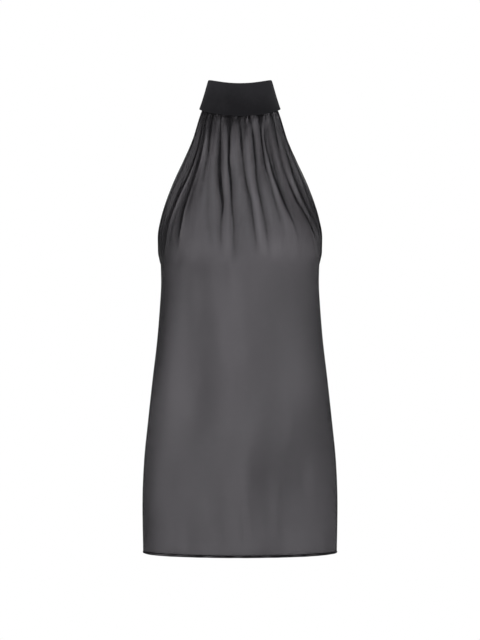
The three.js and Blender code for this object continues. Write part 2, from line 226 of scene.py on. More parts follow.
# %% Stations of the two panels
Station = namedtuple("Station", "level drop half edge middle arc")
FRONT_FORM = table(Station, [
    (-0.8, 15.5, 60.6, -4.6, -61.5, 86),
    (-26, 11, 69.2, -9, -69, 83),
    (-60, 7, 79.2, -19, -84, 79),
    (-94, 4, 93.2, -31, -99, 76),
    (-128, 2, 108.6, -42, -113, 74),
    (-162, 0, 122, -49, -125, 74),
    (-196, 0, 132.4, -51, -133, 76),
    (-228, 0, 137.6, -45, -137, 79),
    (-250, 0, 137.6, -33, -138, 83),
    (-264, 0, 135.6, -17, -138, 87),
    (-268.6, 0, 134.8, -8, -137.8, 88.8),
    (-270, 0, 134.6, -0.15, -137.8, 90),
    (-300, 0, 133.8, -0.15, -136, 90),
    (-332, 0, 135.2, -0.15, -133, 90),
    (-400, 0, 140.6, -0.15, -126, 90),
    (-468, 0, 148.6, -0.15, -120, 90),
    (-536, 0, 156, -0.15, -116.5, 90),
    (-604, 0, 162.8, -0.15, -114, 90),
    (-680, 0.6, 165.6, -0.15, -111.5, 90),
    (-760, 1, 164.4, -0.15, -109, 90),
])
BACK_FORM = table(Station, [
    (-0.8, 3.5, 60.6, 4.6, 61.5, 86),
    (-26, 3, 69.2, 10, 69, 83),
    (-60, 2, 79.4, 23, 79, 79),
    (-94, 1, 93.8, 35, 87, 76),
    (-128, 0, 109.8, 44, 93, 74),
    (-162, 0, 123.8, 49, 96.5, 74),
    (-196, 0, 134.4, 49, 98, 76),
    (-228, 0, 139.4, 42, 97.5, 79),
    (-250, 0, 138.8, 31, 96, 83),
    (-264, 0, 136, 16, 95, 87),
    (-268.6, 0, 134.9, 7.6, 94.6, 88.8),
    (-270, 0, 134.6, 0.15, 94.5, 90),
    (-300, 0, 133.8, 0.15, 92, 90),
    (-332, 0, 135.2, 0.15, 89.5, 90),
    (-400, 0, 140.6, 0.15, 87.5, 90),
    (-468, 1, 148.6, 0.15, 91, 90),
    (-536, 4, 156, 0.15, 97, 90),
    (-604, 8, 162.8, 0.15, 102, 90),
    (-680, 13, 165.6, 0.15, 104, 90),
    (-760, 17, 164.4, 0.15, 104, 90),
])
FULLNESS = 0.86
UNDERARM_LEVEL = -270
HEM_LEVEL = -760
NORMAL_ACROSS = 0.004
NORMAL_DOWN = 1.0
ROW_MARKS = 61
SHORTEST = 1e-9


def smooth(x):
    """Rises softly from 0 to 1 as x does."""
    x = np.clip(x, 0, 1)
    return x * x * (3 - 2 * x)


def soft_curve(marks, values, slopes, at):
    """The curve through values at rising marks that has these slopes there, read at other places."""
    at = np.clip(at, marks[0], marks[-1])
    i = np.clip(np.searchsorted(marks, at) - 1, 0, len(marks) - 2)
    span = marks[i + 1] - marks[i]
    f = (at - marks[i]) / span
    here = values[i] * (2 * f**3 - 3 * f**2 + 1) + slopes[i] * span * (f**3 - 2 * f**2 + f)
    return here + values[i + 1] * (3 * f**2 - 2 * f**3) + slopes[i + 1] * span * (f**3 - f**2)


def column(form, name, level):
    """One column of a form's stations at any height, on a smooth curve through them."""
    depths = -np.array([s.level for s in form], float)
    values = np.array([getattr(s, name) for s in form], float)
    steps = np.diff(values) / np.diff(depths)
    slopes = np.append(steps, steps[-1])
    slopes[1:-1] = (values[2:] - values[:-2]) / (depths[2:] - depths[:-2])
    slopes[1:-1][steps[1:] * steps[:-1] <= 0] = 0
    return soft_curve(depths, values, slopes, -np.asarray(level, float))


def on_form(form, across, level):
    """Points of a form. across runs from -1 at the left edge to 1 at the right one."""
    across, level = np.broadcast_arrays(np.asarray(across, float), np.asarray(level, float))
    arc = np.radians(column(form, "arc", level))
    rim_bow = np.maximum(np.cos(arc), 0) ** FULLNESS
    bow = (np.maximum(np.cos(across * arc), 0) ** FULLNESS - rim_bow) / (1 - rim_bow)
    edge = column(form, "edge", level)
    x = column(form, "half", level) * np.sin(across * arc) / np.sin(arc)
    y = edge + (column(form, "middle", level) - edge) * bow
    z = level - column(form, "drop", level) * np.cos(across * math.pi / 2)
    return np.stack([x, y, z], axis=-1)


def unit(vectors):
    """Vectors made one long."""
    return vectors / np.maximum(np.linalg.norm(vectors, axis=-1, keepdims=True), SHORTEST)


def outward(form, across, level):
    """The form's normals, pointing away from the wearer."""
    sideways = on_form(form, np.minimum(across + NORMAL_ACROSS, 1), level)
    sideways = sideways - on_form(form, np.maximum(across - NORMAL_ACROSS, -1), level)
    lowest, highest = form[-1].level, form[0].level
    down = on_form(form, across, np.maximum(level - NORMAL_DOWN, lowest))
    down = down - on_form(form, across, np.minimum(level + NORMAL_DOWN, highest))
    normal = unit(np.cross(sideways, down))
    away = on_form(form, across, level) * (1, 1, 0)
    return normal * np.sign((normal * away).sum(-1, keepdims=True))


def row_length(form, level):
    """Length of each row of a form, from its left edge to its right edge."""
    marks = np.linspace(-1, 1, ROW_MARKS)[None, :]
    points = on_form(form, marks, np.asarray(level, float)[:, None])
    return np.linalg.norm(np.diff(points, axis=1), axis=2).sum(1)


for level in (-1, UNDERARM_LEVEL, HEM_LEVEL):
    around = [row_length(form, [level])[0] for form in (FRONT_FORM, BACK_FORM)]
    print("girth at", level, "mm:", round(sum(around)), "mm")

# %% [markdown]
# ## Pleats where the cloth is gathered
#
# At the neck a wide panel is drawn up to the length of the collar, so the spare cloth lies
# in narrow folds with wide pleats between them. In each fold the cloth doubles back under
# itself, and three layers of sheer cloth look almost black: that is what draws the dark lines.
# A bump map can't do that, and a simulation wouldn't put the folds where the photograph has
# them, so each fold is placed one by one. Its row says which way it leans, how wide and deep it
# is, where it lies across the panel at seven heights, and how strong it is at each of them.

# %% Folds of the two panels
FOLD_LEVELS = (-10, -50, -90, -130, -170, -210, -250)
Fold = namedtuple("Fold", "lean width depth places weights")
FRONT_FOLDS = table(Fold, [
    (-1, 4, 3.6, (-0.9, -0.9, -0.9, -0.9, -0.91, -0.92, -0.93), (0, 0, 0, 0, 0.2, 0.7, 0.3)),
    (-1, 6, 5.2, (-0.8, -0.77, -0.72, -0.73, -0.79, -0.82, -0.81), (0.4, 0.7, 0.9, 0.8, 0.9, 1, 0.4)),
    (0, 3.5, 3, (-0.72, -0.7, -0.67, -0.66, -0.69, -0.71, -0.72), (0, 0.6, 0.7, 0.4, 0.1, 0.7, 0)),
    (-1, 5.5, 5, (-0.68, -0.66, -0.61, -0.59, -0.61, -0.6, -0.58), (0.5, 0.7, 0.8, 0.8, 0.9, 0.7, 0)),
    (0, 3.5, 2, (-0.56, -0.56, -0.54, -0.53, -0.55, -0.56, -0.56), (0, 0, 0.2, 0.3, 0.4, 0, 0)),
    (-1, 5, 4, (-0.53, -0.51, -0.47, -0.46, -0.45, -0.44, -0.42), (0.7, 1, 0.4, 0.1, 0.1, 0.1, 0)),
    (0, 6, 2.2, (-0.43, -0.42, -0.4, -0.37, -0.33, -0.29, -0.22), (0, 0, 0.1, 0.2, 0.2, 0.3, 0.2)),
    (-1, 5.5, 4.6, (-0.36, -0.32, -0.28, -0.23, -0.17, -0.17, -0.16), (0.3, 0.7, 0.9, 0.8, 0.65, 0.35, 0)),
    (1, 4.4, 4.6, (-0.17, -0.18, -0.15, -0.1, -0.08, -0.06, -0.05), (0.7, 0.7, 0.55, 0.55, 0.55, 0.5, 0.3)),
    (-1, 4.5, 4.4, (-0.02, 0.02, 0.04, 0.07, 0.11, 0.13, 0.15), (0.7, 0.8, 0.6, 0.7, 0.7, 0.6, 0.1)),
    (0, 3, 2.4, (0.09, 0.08, 0.09, 0.11, 0.14, 0.16, 0.18), (0.7, 0.5, 0, 0, 0, 0, 0)),
    (1, 5, 4.4, (0.19, 0.21, 0.2, 0.19, 0.21, 0.23, 0.25), (0.4, 0.6, 0.6, 0.5, 0.5, 0.4, 0.1)),
    (-1, 5.5, 4.2, (0.36, 0.35, 0.33, 0.34, 0.36, 0.4, 0.43), (0.9, 0.6, 0.7, 0.4, 0.2, 0.1, 0)),
    (1, 4, 4.2, (0.44, 0.41, 0.41, 0.42, 0.47, 0.53, 0.57), (0.1, 0.6, 0.6, 0.8, 0.7, 0.4, 0)),
    (0, 4, 2.4, (0.53, 0.5, 0.49, 0.5, 0.54, 0.62, 0.67), (0, 0.1, 0.4, 0.1, 0, 0, 0)),
    (1, 4, 4.4, (0.68, 0.66, 0.61, 0.6, 0.66, 0.78, 0.85), (0.5, 0.6, 0.4, 0.5, 0.6, 0.7, 0)),
    (1, 4.5, 4, (0.84, 0.81, 0.78, 0.74, 0.78, 0.91, 0.94), (0, 0, 0.6, 0.7, 0.7, 0.7, 0.1)),
    (1, 3.5, 3, (0.93, 0.92, 0.9, 0.91, 0.91, 0.96, 0.97), (0, 0, 0.2, 0.6, 0.9, 0.3, 0)),
])
BACK_FOLDS = table(Fold, [
    (-1, 5, 3.6, (-0.87, -0.84, -0.83, -0.82, -0.84, -0.87, -0.89), (0, 0, 0.1, 0.5, 0.6, 0.3, 0)),
    (-1, 5.5, 4, (-0.7, -0.68, -0.65, -0.63, -0.64, -0.63, -0.62), (0.5, 0.6, 0.6, 0.7, 0.6, 0.3, 0)),
    (1, 5, 4, (-0.54, -0.52, -0.5, -0.48, -0.47, -0.46, -0.45), (0.6, 0.7, 0.4, 0.2, 0, 0, 0)),
    (1, 5.5, 4.2, (-0.36, -0.33, -0.29, -0.24, -0.19, -0.17, -0.16), (0.4, 0.6, 0.7, 0.6, 0.4, 0.1, 0)),
    (-1, 5.5, 4.2, (-0.19, -0.18, -0.15, -0.11, -0.09, -0.08, -0.07), (0.8, 0.7, 0.7, 0.6, 0.4, 0.2, 0)),
    (1, 5, 3.8, (0.01, 0.02, 0.04, 0.07, 0.1, 0.13, 0.15), (0.5, 0.6, 0.4, 0.3, 0.2, 0, 0)),
    (-1, 5, 3.8, (0.18, 0.2, 0.21, 0.21, 0.22, 0.24, 0.26), (0.4, 0.5, 0.5, 0.4, 0.3, 0.2, 0)),
    (1, 5, 3.8, (0.36, 0.36, 0.36, 0.37, 0.39, 0.42, 0.45), (0.8, 0.6, 0.5, 0.4, 0.2, 0, 0)),
    (1, 4.5, 3.2, (0.5, 0.49, 0.48, 0.48, 0.49, 0.51, 0.53), (0.1, 0.3, 0.5, 0.4, 0.3, 0, 0)),
    (-1, 5, 4, (0.67, 0.66, 0.64, 0.64, 0.68, 0.78, 0.82), (0.3, 0.3, 0.3, 0.5, 0.6, 0.5, 0)),
    (1, 4.5, 3.4, (0.87, 0.85, 0.81, 0.79, 0.82, 0.88, 0.9), (0, 0, 0.2, 0.5, 0.6, 0.3, 0)),
])
FOLD_FOOT = -268
FOLD_FOOT_FADE = 26
FOLD_WANDER = 0.3
WANDER_BENDS = (8.5, 17)
WANDER_SHARES = (1, 1.5)
WANDER_PHASES = (1, 1.7)
WANDER_PHASE_STEP = 2.4
WANDER_FADE = 60
STEPPED_FROM = 0.15
STEPPED_RISE = 0.4
DOUBLED_FROM = 0.8
FULL_DEPTH = 5
OVERLAP = 0.8
DOUBLING_FROM_SEAM = 46
BUNCH = 1.3
BUNCH_WIDTH = 0.36
SEAM_BUNCH_WIDTH = 0.45
SEAM_BUNCH_LENGTH = 30
SIDE_BUNCH = 0.25
SIDE_BUNCH_PLACE = 0.7
SIDE_BUNCH_WIDTH = 0.55
FLANK = 0.8
FLANK_RISE = 2
FLANK_LENGTH = 9
FLANK_AT_SEAM = 0.4
FLANK_GROWTH = 110
CREST = 0.3
CREST_START = 1.5
CREST_RISE = 3
CREST_REACH = 2
SEAM_EASE = 0.35
SEAM_EASE_LENGTH = 16
SEAM_SPREAD = 1.0
SEAM_SPREAD_LENGTH = 40
FOLD_ROOM = 0.37
PLEAT_SWELL = 1.1
SWELL_FOOT = -300
SWELL_RISE = 120
FOLD_STEPS = 10
PLEAT_STEPS = 8
EDGE_HOLD = 0.05


def between_levels(values, level):
    """Values given at the fold levels, at any height, on a soft curve."""
    depths = -np.array(FOLD_LEVELS, float)
    values = np.array(values, float)
    return soft_curve(depths, values, np.gradient(values, depths), -level)


def fold_strength(fold, level):
    """1 where a fold is full, 0 where it has died away."""
    strength = np.clip(between_levels(fold.weights, level), 0, 1)
    return strength * smooth((level - FOLD_FOOT) / FOLD_FOOT_FADE)


def fold_columns(fold, centre, most, half_length, level):
    """Across, height and bunching of one fold's columns, which double back in its middle."""
    turn = np.linspace(-1, 1, FOLD_STEPS + 1)[None, :]
    strength = fold_strength(fold, level)[:, None]
    ease = SEAM_EASE + (1 - SEAM_EASE) * smooth(-level / SEAM_EASE_LENGTH)
    spread = 1 + SEAM_SPREAD * smooth(1 + level / SEAM_SPREAD_LENGTH)
    reach_out = np.minimum(fold.width * spread / half_length, most)[:, None]
    stepped = smooth((strength - STEPPED_FROM) / STEPPED_RISE) if fold.lean else 0
    doubled = OVERLAP * stepped * smooth(strength / DOUBLED_FROM)
    doubled = doubled * smooth(-level / DOUBLING_FROM_SEAM)[:, None]
    where = centre[:, None] + reach_out * (turn - doubled * np.sin(math.pi * turn))
    step = 0.5 + 0.5 * fold.lean * np.sin(math.pi * turn / 2)
    valley = 0.5 + 0.5 * np.cos(math.pi * turn)
    height = -fold.depth * strength * ease[:, None] * (stepped * step + (1 - stepped) * valley)
    core = BUNCH_WIDTH + SEAM_BUNCH_WIDTH * smooth(1 + level / SEAM_BUNCH_LENGTH)[:, None]
    # The side bunch darkens the cloth a little beside the fold's core: painted shade.
    beside = (turn - SIDE_BUNCH_PLACE * fold.lean) / SIDE_BUNCH_WIDTH
    bunch = BUNCH * np.exp(-((turn / core) ** 2)) + SIDE_BUNCH * np.exp(-(beside**2))
    bunch = bunch * strength * fold.depth / FULL_DEPTH
    return where, height, bunch


def flank_shade_and_crest_light(folds, centres, across, half_length, level):
    """Fuller cloth on a fold's leaning side, partly painted shade; barer cloth on the pleat top beside it,
    a painted highlight.
    """
    total = np.zeros_like(across)
    growth = smooth(-level / FLANK_GROWTH)[:, None]
    length = FLANK_LENGTH * (FLANK_AT_SEAM + (1 - FLANK_AT_SEAM) * growth)
    for fold, centre in zip(folds, centres):
        if fold.lean:
            strength = fold_strength(fold, level)[:, None] * fold.depth / FULL_DEPTH
            off = fold.lean * (across - centre[:, None]) * half_length[:, None]
            flank = smooth(0.5 + off / FLANK_RISE) * np.clip(1 - off / length, 0, 1)
            crest = smooth((-off - CREST_START) / CREST_RISE) * smooth(CREST_REACH + off / length)
            total += strength * (FLANK * flank - CREST * crest)
    return total


def pleated_rows(form, folds, level):
    """Across, height and bunching of every column of cloth, folds and pleats in turn."""
    half_length = row_length(form, level) / 2
    centres = np.array([between_levels(fold.places, level) for fold in folds])
    phase = np.arange(len(folds))[:, None] * WANDER_PHASE_STEP
    wander = 0
    for bend, share, own_phase in zip(WANDER_BENDS, WANDER_SHARES, WANDER_PHASES):
        wander = wander + share * np.sin(level / bend + phase * own_phase)
    wander = FOLD_WANDER * wander * smooth((level - FOLD_FOOT) / WANDER_FADE)
    centres = centres + wander / half_length
    fence = np.vstack([np.full_like(level, -1), centres, np.full_like(level, 1)])
    room = FOLD_ROOM * np.minimum(np.diff(fence[:-1], axis=0), np.diff(fence[1:], axis=0))
    rows = np.full((len(level), 1), 1.0)
    blocks = [(-rows, rows * 0, rows * 0)]
    for fold, centre, most in zip(folds, centres, room):
        blocks.append(fold_columns(fold, centre, most, half_length, level))
    blocks.append((rows, rows * 0, rows * 0))
    part = np.linspace(0, 1, PLEAT_STEPS + 1)[None, 1:-1]
    swelling = smooth((level - SWELL_FOOT) / SWELL_RISE)[:, None]
    swell = PLEAT_SWELL * swelling * np.sin(math.pi * part)
    columns = [blocks[0]]
    for here, after in zip(blocks, blocks[1:]):
        across, height, bunch = [
            a[:, -1:] + (b[:, :1] - a[:, -1:]) * (smooth(part) if k else part)
            for k, (a, b) in enumerate(zip(here, after))
        ]
        columns.append((across, height + swell, bunch))
        columns.append(after)
    across, height, bunch = [np.hstack(kind) for kind in zip(*columns)]
    # Painted shade on each leaning fold's flank and a painted highlight on the pleat top beside it, as
    # shares of cloth.
    bunch = bunch + flank_shade_and_crest_light(folds, centres, across, half_length, level)
    return across, height, bunch


print(len(FRONT_FOLDS), "folds in front,", len(BACK_FOLDS), "behind")

# %% [markdown]
# ## Soft folds lower down
#
# Below the bust nothing holds the cloth, and it falls in a few long shallow waves. They show
# only as broad lighter and darker bands. Each is one listed swell or trough, and the troughs
# get a little painted shade as extra fullness, the swells a little painted light.

# %% Waves of the skirt
Wave = namedtuple("Wave", "across width height top foot")
FRONT_WAVES = table(Wave, [
    (-0.62, 0.16, 3.2, -290, -800),
    (-0.34, 0.13, -3.6, -300, -700),
    (-0.07, 0.12, 3.0, -270, -640),
    (0.16, 0.13, -3.0, -280, -760),
    (0.5, 0.17, 3.2, -270, -640),
    (0.7, 0.12, -3.2, -420, -800),
])
BACK_WAVES = table(Wave, [
    (-0.55, 0.14, 3.4, -280, -800),
    (-0.24, 0.13, -4.0, -280, -720),
    (0.05, 0.13, 3.4, -260, -700),
    (0.32, 0.13, -4.0, -300, -800),
    (0.6, 0.14, 3.2, -320, -800),
])
WAVE_FADE = 90


def wave_height(waves, across, level):
    """Height of the long soft folds."""
    total = np.zeros(np.broadcast(across, level).shape)
    for wave in waves:
        along = smooth((wave.top - level) / WAVE_FADE) * smooth((level - wave.foot) / WAVE_FADE)
        total += wave.height * along * np.exp(-(((across - wave.across) / wave.width) ** 2))
    return total


print(len(FRONT_WAVES) + len(BACK_WAVES), "soft waves")

# %% [markdown]
# ## Thicker and thinner stretches, with painted light and shade
#
# Some soft stretches of the crinkled cloth lie closer or more open, and look darker or lighter.
# Others are painted light and painted shade: lighter over the bust, darker under it, and
# lighter just under the collar. They are listed, as the waves are. The last column is the share
# of cloth that a stretch adds or takes away, mostly under a third and at most about as much again.

# %% Stretches of closer and more open cloth, and of painted light and shade
Stretch = namedtuple("Stretch", "across width level length share")
FRONT_STRETCHES_AND_PAINTED_LIGHT = table(Stretch, [
    (-0.85, 0.2, -14, 24, -0.06),
    # The next two rows are painted light, lifting the shade just under the collar.
    (0.26, 0.05, -24, 14, -0.35),
    (0.47, 0.06, -22, 14, -0.3),
    (-0.05, 0.05, -17, 12, 0.5),
    (-0.4, 0.25, -32, 24, 0.16),
    (-0.62, 0.2, -32, 22, 0.25),
    (0.06, 0.06, -30, 20, 0.35),
    (0.46, 0.07, -55, 18, 0.18),
    (-0.15, 0.045, -92, 24, -0.42),
    (0.05, 0.05, -150, 80, -0.14),
    (-0.22, 0.07, -26, 12, 0.42),
    (-0.35, 0.06, -19, 8, -0.4),
    (0.34, 0.05, -19, 9, -0.3),
    (0.96, 0.08, -130, 26, -0.12),
    (0.97, 0.05, -205, 20, -0.3),
    (-0.97, 0.05, -204, 22, -0.4),
    (-0.68, 0.1, -62, 20, 0.14),
    (0.37, 0.05, -86, 18, 0.22),
    (-0.95, 0.08, -28, 12, 0.25),
    (0.6, 0.3, -34, 14, 0.1),
    (0.45, 0.25, -70, 16, 0.08),
    (-0.3, 0.08, -64, 16, 0.12),
    (0.74, 0.06, -112, 30, 0.3),
    (-0.95, 0.06, -118, 20, 0.24),
    (0.62, 0.12, -38, 12, 0.2),
    (-0.5, 0.08, -42, 14, 0.34),
    (0.22, 0.1, -134, 24, 0.12),
    (0.07, 0.06, -43, 12, 0.26),
    (-0.97, 0.09, -528, 44, 0.5),
    (0.75, 0.05, -154, 26, 1.0),
    (0.43, 0.04, -172, 20, 0.2),
    (0.26, 0.06, -115, 30, 0.12),
    (0.5, 0.08, -160, 26, 0.12),
    (0.83, 0.08, -182, 28, 0.44),
    (-0.84, 0.08, -216, 30, 0.5),
    (-0.94, 0.1, -247, 20, 0.5),
    (0.9, 0.2, -20, 20, -0.48),
    (-0.7, 0.12, -38, 20, 0.16),
    (-0.25, 0.045, -98, 28, 0.62),
    (0.95, 0.18, -100, 34, -0.14),
    (-0.66, 0.08, -165, 52, 0.3),
    (0.87, 0.11, -188, 30, 0.42),
    (0.59, 0.1, -184, 26, 0.18),
    (-0.62, 0.08, -180, 26, 0.18),
    (-0.8, 0.22, -228, 36, 0.36),
    (-0.92, 0.16, -232, 50, 0.2),
    # The next four rows are painted light over the bust and painted shade under it.
    (-0.42, 0.14, -246, 20, -0.12),
    (-0.3, 0.14, -282, 18, 0.18),
    (0.42, 0.2, -248, 30, -0.18),
    (0.68, 0.16, -254, 26, -0.1),
    (0.88, 0.14, -206, 26, 0.1),
    (0.75, 0.3, -315, 45, -0.07),
    (-0.98, 0.2, -330, 130, 0.36),
    (-0.89, 0.16, -360, 105, 0.96),
    (-0.14, 0.07, -340, 70, -0.09),
    (-0.05, 0.07, -390, 100, -0.06),
    (0.04, 0.06, -320, 80, 0.04),
    (-0.5, 0.13, -470, 90, -0.16),
    (-0.78, 0.1, -500, 46, -0.1),
    (-0.26, 0.07, -470, 70, 0.1),
    (-0.34, 0.07, -520, 40, -0.08),
    (-0.09, 0.07, -490, 90, -0.09),
    (-0.15, 0.06, -572, 30, 0.05),
    (0.13, 0.08, -500, 60, 0.05),
    (0.4, 0.09, -450, 60, -0.05),
    (0.51, 0.13, -540, 70, 0.15),
    (0.95, 0.16, -400, 70, 0.3),
    (0.94, 0.1, -518, 24, 0.56),
    (0.45, 0.25, -560, 50, 0.1),
    (0.2, 0.24, -608, 44, 0.12),
    (0.2, 0.2, -640, 70, 0.12),
    (-0.05, 0.06, -670, 34, 0.06),
    (-1.0, 0.26, -690, 90, 0.28),
    (-0.8, 0.25, -712, 28, 0.16),
    (-0.25, 0.08, -716, 34, 0.13),
    (-0.12, 0.14, -715, 50, 0.08),
    (0.15, 0.06, -754, 14, 0.15),
    (0.25, 0.08, -248, 18, -0.1),
    (-0.54, 0.05, -148, 42, 1.1),
    (0.72, 0.1, -700, 60, -0.07),
    (0.93, 0.14, -738, 50, -0.27),
    (0.4, 0.08, -735, 22, -0.05),
])
BACK_STRETCHES = table(Stretch, [
    (-0.4, 0.08, -480, 160, 0.03),
    (0.02, 0.08, -560, 140, -0.03),
    (0.5, 0.1, -460, 150, 0.03),
])


def cloth_and_painted_light_share(stretches, across, level):
    """Share of cloth that the stretches add or take away, partly uneven cloth and partly painted light and
    shade.
    """
    total = np.zeros(np.broadcast(across, level).shape)
    for s in stretches:
        sideways = (across - s.across) / s.width
        upwards = (level - s.level) / s.length
        total += s.share * np.exp(-(sideways**2) - upwards**2)
    return total


print(len(FRONT_STRETCHES_AND_PAINTED_LIGHT) + len(BACK_STRETCHES), "stretches")

# %% [markdown]
# ## Tucks at the collar
#
# Between two pleat tops the gathering thread crams the cloth into a dark tuck, a few
# millimetres wide at the seam, that closes to the line of its fold within 3 to 6 centimetres.
# Each is a wedge of extra fullness, sunk a little, with its place, width, length and share.

# %% Tucks of the two panels
Tuck = namedtuple("Tuck", "across width length share")
FRONT_TUCKS = table(Tuck, [
    (-0.96, 0.05, 26, 0.9),
    (-0.775, 0.11, 62, 1.5),
    (-0.555, 0.06, 56, 2.0),
    (-0.35, 0.02, 36, 1.2),
    (-0.26, 0.03, 25, 1.3),
    (-0.18, 0.08, 58, 2.5),
    (-0.01, 0.035, 40, 0.9),
    (0.09, 0.02, 26, 0.4),
    (0.155, 0.022, 32, 1.2),
    (0.375, 0.06, 40, 2.3),
    (0.63, 0.03, 36, 1.5),
])
BACK_TUCKS = table(Tuck, [
    (-0.7, 0.05, 38, 1.4),
    (-0.36, 0.04, 30, 1.0),
    (0.18, 0.03, 34, 1.2),
    (0.5, 0.04, 28, 0.9),
])
TUCK_SINK = 0.5
TUCK_NARROWEST = 0.05
TUCK_FULL_FROM = 0.6


def tuck_share(tucks, across, level):
    """Extra share of cloth in the tucks at the seam."""
    total = np.zeros(np.broadcast(across, level).shape)
    for tuck in tucks:
        left = np.clip(1 + level / tuck.length, 0, 1)
        reach = (across - tuck.across) / (tuck.width * np.maximum(left, TUCK_NARROWEST))
        total += tuck.share * smooth(left / TUCK_FULL_FROM) * np.exp(-(reach**4))
    return total


print(len(FRONT_TUCKS) + len(BACK_TUCKS), "tucks")

# %% [markdown]
# ## Crinkles under the collar
#
# Where the gathering thread pulls the cloth up, it puckers in short uneven crinkles that
# open out within two to four centimetres. A few overlapping waves of different length,
# each strongest in its own places, give that without a regular look.

# %% Crinkles at the neck seam
CRINKLE_LENGTH = 36
CRINKLE_HEIGHT = 0.9
CRINKLE_BUNCH = 0.9
CRINKLE_SEED = 7
CRINKLE_WAVES = 7
CRINKLE_PITCHES = (4.5, 9.5)
CRINKLE_PATCHES = (28, 60)
CRINKLE_LEANS = (-0.25, 0.25)
CRINKLE_REACHES = (0.5, 1.1)


def crinkle(cloth_length, level):
    """The puckers as a wave of about 1 up and down, from the cloth's length and the height."""
    chance = np.random.default_rng(CRINKLE_SEED)
    total = np.zeros(np.broadcast(cloth_length, level).shape)
    for _ in range(CRINKLE_WAVES):
        pitch = chance.uniform(*CRINKLE_PITCHES)
        patch = chance.uniform(*CRINKLE_PATCHES)
        lean = chance.uniform(*CRINKLE_LEANS)
        phase, shift = chance.uniform(0, math.tau, 2)
        here = np.maximum(np.sin(math.tau * cloth_length / patch + shift), 0)
        reach = CRINKLE_LENGTH * chance.uniform(*CRINKLE_REACHES)
        fade = smooth(1 + level / reach)
        total += here * fade * np.sin(math.tau * (cloth_length + lean * level) / pitch + phase)
    return total


print("crinkles", CRINKLE_LENGTH, "mm long")

# %% [markdown]
# ## Sewing a panel
#
# A panel is a grid: rows at chosen heights, close together where the cloth is gathered, and
# the pleated columns across. Each vertex also stores how full the cloth is there, because
# fine gathers that are too small to model still put more thread in the way of the light.
# A Solidify modifier gives the sheet the two faces of real cloth.

# %% Make the panels
CLOTH_THICKNESS = 0.3
NECK_ROWS = np.arange(-1.2, -30, -2.2)
BODICE_ROWS = np.linspace(-31, -262, 68)
UNDERARM_ROWS = np.array([-264.5, -266.5, -268, -269, -269.7, -271, -274, -279, -285, -292])
SKIRT_ROWS = np.linspace(-302, -758.2, 40)
PANEL_LEVELS = np.concatenate([NECK_ROWS, BODICE_ROWS, UNDERARM_ROWS, SKIRT_ROWS])
NECK_FULLNESS = 0.06
NECK_FULLNESS_LENGTH = 230
SEAM_FULLNESS = 0.08
SEAM_FULLNESS_LENGTH = 70
TROUGH_PAINTED_SHADE = 0.008
BAREST = 0.55
FULLEST = 4.5
FULLEST_AT_SEAM = 2.7
FULLEST_REACH = 60


def grid_faces(rows, columns, around=False, looped=False):
    """Faces of a grid: each row a ring if around, and the last row joined to the first if looped."""
    faces = []
    for r in range(rows if looped else rows - 1):
        here, below = r * columns, (r + 1) % rows * columns
        for c in range(columns if around else columns - 1):
            d = (c + 1) % columns
            faces.append((here + c, here + d, below + d, below + c))
    return faces


def new_piece(name, points, faces, material):
    """A smooth mesh object in metres, riding on the garment, from points in millimetres."""
    mesh = bpy.data.meshes.new(name)
    mesh.from_pydata((np.asarray(points) * MM).tolist(), [], faces)
    mesh.materials.append(material)
    mesh.polygons.foreach_set("use_smooth", [True] * len(mesh.polygons))
    mesh.update()
    piece = bpy.data.objects.new(name, mesh)
    show(piece)
    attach(piece, "root")
    return piece


def panel_cloth(form, folds, waves, stretches, tucks, level):
    """Points of a panel's cloth, the length of cloth along each row, and its fullness."""
    across, height, bunch = pleated_rows(form, folds, level)
    rows = level[:, None]
    flat = on_form(form, np.clip(across, -1, 1), rows)
    steps = np.linalg.norm(np.diff(flat, axis=1), axis=2)
    length = np.hstack([np.zeros_like(rows), np.cumsum(steps, axis=1)])
    wave = wave_height(waves, across, rows)
    pucker = crinkle(length, rows)
    tuck = tuck_share(tucks, across, rows)
    height = height + wave + CRINKLE_HEIGHT * pucker - TUCK_SINK * tuck
    height = height * smooth((1 - np.abs(across)) / EDGE_HOLD)
    points = flat + outward(form, np.clip(across, -1, 1), rows) * height[..., None]
    gathered = NECK_FULLNESS * smooth(1 + rows / NECK_FULLNESS_LENGTH)
    gathered = gathered + SEAM_FULLNESS * smooth(1 + rows / SEAM_FULLNESS_LENGTH)
    # Painted shade in the waves' troughs and painted light on their swells, as a little more or less
    # fullness.
    fullness = 1 + gathered + bunch + tuck - TROUGH_PAINTED_SHADE * wave
    fullness = fullness + CRINKLE_BUNCH * np.maximum(-pucker, 0)
    # The stretches are partly uneven cloth and partly painted light and shade.
    fullness = fullness * (1 + cloth_and_painted_light_share(stretches, across, rows))
    fullest = FULLEST + (FULLEST_AT_SEAM - FULLEST) * smooth(1 + rows / FULLEST_REACH)
    return points, length, np.clip(fullness, BAREST, fullest)


